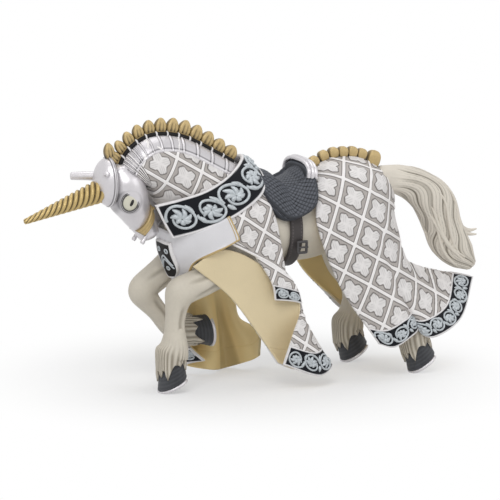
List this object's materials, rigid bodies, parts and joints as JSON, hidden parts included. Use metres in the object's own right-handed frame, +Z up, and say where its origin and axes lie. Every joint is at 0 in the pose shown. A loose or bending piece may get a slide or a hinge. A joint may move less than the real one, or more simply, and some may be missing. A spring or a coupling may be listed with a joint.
{
  "type": "horse figurine",
  "caption": "Charging war horse figurine dressed as a unicorn: lattice-quilted caparison, saddle, plated head and neck, spiral horn, scalloped crests and flowing tail.",
  "frame": {"origin": "middle of the footprint box, on the ground plane that the shoes' toes and the far front hem stand on", "axes": "+Z up, the horse faces -X, its near (left) side is -Y"},
  "size_m": [0.1772, 0.049, 0.0973],
  "materials": {
    "skin": "off-white paint, satin, with a warm grey wash",
    "hoof_horn": "charcoal paint, satin",
    "silver": "silver-white metallic paint, satin",
    "gold": "antique gold metallic paint, satin",
    "quilted_cloth": "white raised lattice over a grey wash, matt",
    "cloth_lining": "beige paint, matt",
    "white_enamel": "white paint, satin",
    "dark_border": "blue-black paint with silver scrolls, satin",
    "saddle_leather": "dark blue-grey paint, matt",
    "black_paint": "black paint, matt"
  },
  "bodies": {
    "root": {"trunk": "skin", "neck": "skin", "tail": "skin", "near_fore_leg": "skin", "far_fore_leg": "skin", "near_hind_leg": "skin", "far_hind_leg": "skin", "near_fore_hoof": "hoof_horn", "far_fore_hoof": "hoof_horn", "near_hind_hoof": "hoof_horn", "far_hind_hoof": "hoof_horn", "near_fore_shoe": "silver", "far_fore_shoe": "silver", "near_hind_shoe": "silver", "far_hind_shoe": "silver", "head": "silver", "brow_plate": "silver", "near_ear_cup": "silver", "far_ear_cup": "silver", "crinet": "silver", "cantle_trim": "silver", "near_bit_shank": "silver", "far_bit_shank": "silver", "near_girth_buckle": "saddle_leather", "far_girth_buckle": "saddle_leather", "horn": "gold", "mane_crest": "gold", "croup_crest": "gold", "near_cheek_strap": "gold", "far_cheek_strap": "gold", "neck_cloth": "quilted_cloth", "near_front_panel": "quilted_cloth", "far_front_panel": "quilted_cloth", "near_front_fold": "quilted_cloth", "near_rear_cloth": "quilted_cloth", "far_rear_cloth": "quilted_cloth", "near_front_skirt": "cloth_lining", "far_front_skirt": "cloth_lining", "breast_bib": "white_enamel", "near_eye": "white_enamel", "far_eye": "white_enamel", "collar_band": "dark_border", "near_front_fold_hem": "dark_border", "near_front_skirt_hem": "dark_border", "far_front_skirt_hem": "dark_border", "near_rear_hem": "dark_border", "far_rear_hem": "dark_border", "saddle_seat": "saddle_leather", "saddle_cantle": "saddle_leather", "saddle_pommel": "saddle_leather", "near_saddle_flap": "saddle_leather", "far_saddle_flap": "saddle_leather", "girth_strap": "saddle_leather", "mane_strip": "black_paint", "breast_badge": "black_paint"}
  },
  "joints": []
}
